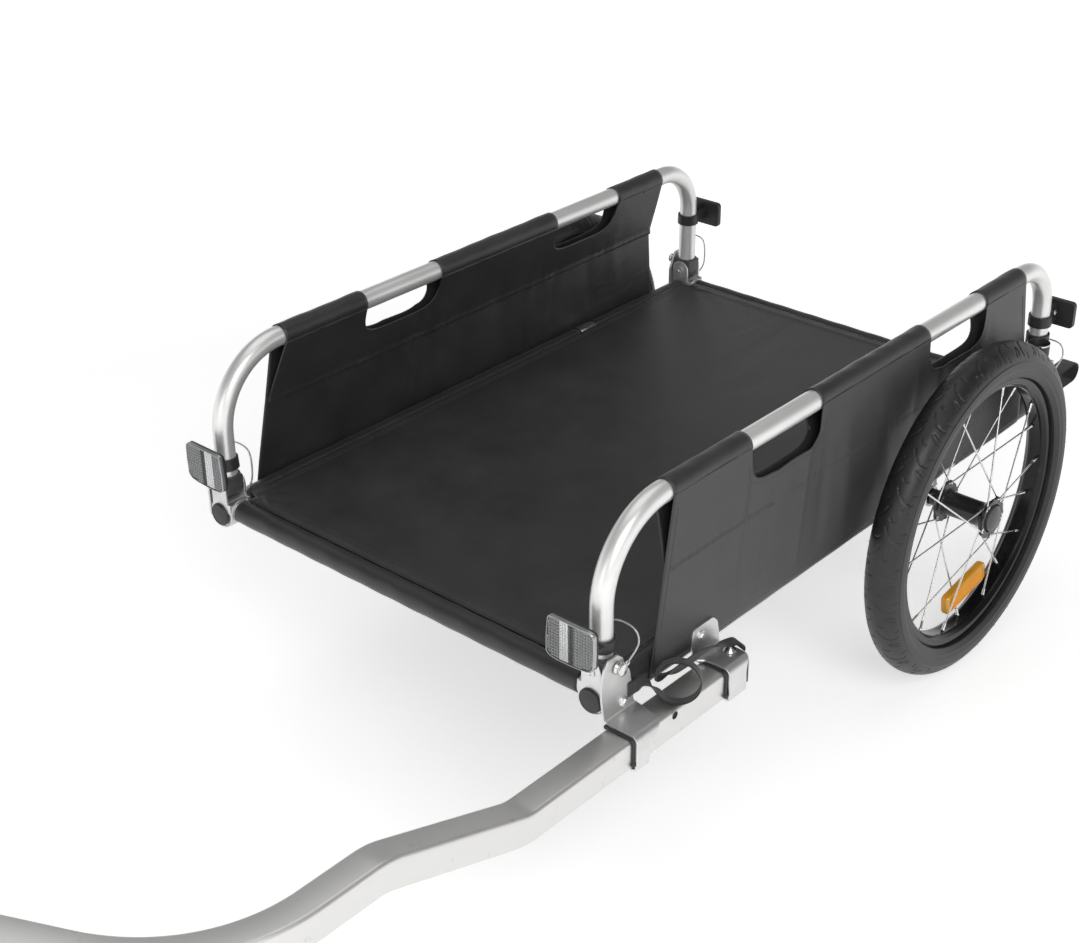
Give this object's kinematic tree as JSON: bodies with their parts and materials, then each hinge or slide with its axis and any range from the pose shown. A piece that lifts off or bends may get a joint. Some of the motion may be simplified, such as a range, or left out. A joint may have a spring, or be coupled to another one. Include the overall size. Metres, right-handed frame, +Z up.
{
  "type": "flatbed bicycle trailer",
  "caption": "Flatbed bicycle trailer with folding side hoops, fabric bed, swinging square tow bar, lock pins and quick-release spoked wheels.",
  "frame": {"origin": "on the ground, at the centre of the outline's bounding box", "axes": "+Z up, -Y towards the towing bike, +X the trailer's left side"},
  "size_m": [0.691, 1.8152, 0.4388],
  "materials": {
    "hoop_silver": "satin anodised",
    "aluminium": "satin",
    "bar_aluminium": "brushed",
    "steel": "zinc plated",
    "black_plastic": "moulded, fine texture",
    "fabric": "coated woven polyester, slight sheen",
    "webbing": "woven webbing",
    "tyre": "matt rubber",
    "rim": "satin black",
    "cap_grey": "satin",
    "amber": "prismatic reflector",
    "lens": "prismatic reflector",
    "red_lens": "prismatic reflector in a black housing"
  },
  "bodies": {
    "frame": {"lower_tube_left": "aluminium", "lower_tube_right": "aluminium", "end_plug_front_left": "black_plastic", "end_plug_front_right": "black_plastic", "end_plug_rear_left": "black_plastic", "end_plug_rear_right": "black_plastic", "cross_tube_front": "aluminium", "cross_tube_rear": "aluminium", "axle_tube": "steel", "bed_fabric": "fabric", "corner_fitting_front_left": "aluminium", "corner_fitting_front_right": "aluminium", "corner_fitting_rear_left": "aluminium", "corner_fitting_rear_right": "aluminium", "receiver_front": "aluminium", "receiver_rear": "aluminium", "liner_front": "black_plastic", "liner_rear": "black_plastic", "bar_pivot_bolt": "steel", "webbing_loop": "webbing", "pin_cable_front_left": "steel", "pin_cable_front_right": "steel", "pin_cable_rear_left": "steel", "pin_cable_rear_right": "steel", "bar_strap": "webbing"},
    "hoop_left_body": {"hoop_left": "hoop_silver", "side_panel_left": "fabric", "front_reflector_back_left": "black_plastic", "front_reflector_lens_left": "lens", "rear_reflector_left": "red_lens", "knuckle_front_left": "black_plastic", "knuckle_rear_left": "black_plastic", "flag_socket": "black_plastic"},
    "lock_pin_front_left_body": {"lock_pin_front_left": "steel"},
    "lock_pin_rear_left_body": {"lock_pin_rear_left": "steel"},
    "axle_left_body": {"stub_axle_left": "steel"},
    "button_left_body": {"wheel_button_left": "cap_grey"},
    "wheel_left_body": {"tyre_left": "tyre", "rim_left": "rim", "hub_left": "black_plastic", "spoke_reflector_left": "amber"},
    "hoop_right_body": {"hoop_right": "hoop_silver", "side_panel_right": "fabric", "front_reflector_back_right": "black_plastic", "front_reflector_lens_right": "lens", "rear_reflector_right": "red_lens", "knuckle_front_right": "black_plastic", "knuckle_rear_right": "black_plastic"},
    "lock_pin_front_right_body": {"lock_pin_front_right": "steel"},
    "lock_pin_rear_right_body": {"lock_pin_rear_right": "steel"},
    "axle_right_body": {"stub_axle_right": "steel"},
    "button_right_body": {"wheel_button_right": "cap_grey"},
    "wheel_right_body": {"tyre_right": "tyre", "rim_right": "rim", "hub_right": "black_plastic", "spoke_reflector_right": "amber"},
    "tow_bar_body": {"tow_bar": "bar_aluminium", "hitch_neck": "black_plastic"},
    "tongue_body": {"hitch_tongue": "steel"},
    "hitch_pin_body": {"hitch_pin": "steel"}
  },
  "joints": [
    {"name": "side_fold_left", "type": "hinge", "parent": "frame", "child": "hoop_left_body", "pos_m": [0.2634, 0.38925, 0.279], "axis": [0, -1, 0], "range_deg": [0, 90]},
    {"name": "lock_pin_front_left_pull", "type": "slide", "parent": "frame", "child": "lock_pin_front_left_body", "axis": [1, 0, 0], "range_m": [0, 0.022]},
    {"name": "lock_pin_rear_left_pull", "type": "slide", "parent": "frame", "child": "lock_pin_rear_left_body", "axis": [1, 0, 0], "range_m": [0, 0.022]},
    {"name": "wheel_release_left", "type": "slide", "parent": "frame", "child": "axle_left_body", "axis": [1, 0, 0], "range_m": [0, 0.09]},
    {"name": "wheel_button_left_push", "type": "slide", "parent": "axle_left_body", "child": "button_left_body", "axis": [-1, 0, 0], "range_m": [0, 0.003], "stiffness_N_per_m": 400, "springref_m": -0.002},
    {"name": "wheel_spin_left", "type": "hinge", "parent": "axle_left_body", "child": "wheel_left_body", "pos_m": [0.3106, 0.5807, 0.2], "axis": [1, 0, 0], "continuous": true},
    {"name": "side_fold_right", "type": "hinge", "parent": "frame", "child": "hoop_right_body", "pos_m": [-0.2634, 0.38925, 0.279], "axis": [0, 1, 0], "range_deg": [0, 90]},
    {"name": "lock_pin_front_right_pull", "type": "slide", "parent": "frame", "child": "lock_pin_front_right_body", "axis": [-1, 0, 0], "range_m": [0, 0.022]},
    {"name": "lock_pin_rear_right_pull", "type": "slide", "parent": "frame", "child": "lock_pin_rear_right_body", "axis": [-1, 0, 0], "range_m": [0, 0.022]},
    {"name": "wheel_release_right", "type": "slide", "parent": "frame", "child": "axle_right_body", "axis": [-1, 0, 0], "range_m": [0, 0.09]},
    {"name": "wheel_button_right_push", "type": "slide", "parent": "axle_right_body", "child": "button_right_body", "axis": [1, 0, 0], "range_m": [0, 0.003], "stiffness_N_per_m": 400, "springref_m": -0.002},
    {"name": "wheel_spin_right", "type": "hinge", "parent": "axle_right_body", "child": "wheel_right_body", "pos_m": [-0.3106, 0.5807, 0.2], "axis": [1, 0, 0], "continuous": true},
    {"name": "tow_bar_swing", "type": "hinge", "parent": "frame", "child": "tow_bar_body", "pos_m": [0.299, 0.1347, 0.2115], "axis": [0, 0, -1], "range_deg": [0, 50]},
    {"name": "hitch_yaw", "type": "hinge", "parent": "tow_bar_body", "child": "tongue_body", "pos_m": [0.085, -0.8326, 0.316], "axis": [0, 0, 1], "range_deg": [-40, 40]},
    {"name": "hitch_pin_pull", "type": "slide", "parent": "tongue_body", "child": "hitch_pin_body", "axis": [0, 0, 1], "range_m": [0, 0.035]}
  ]
}
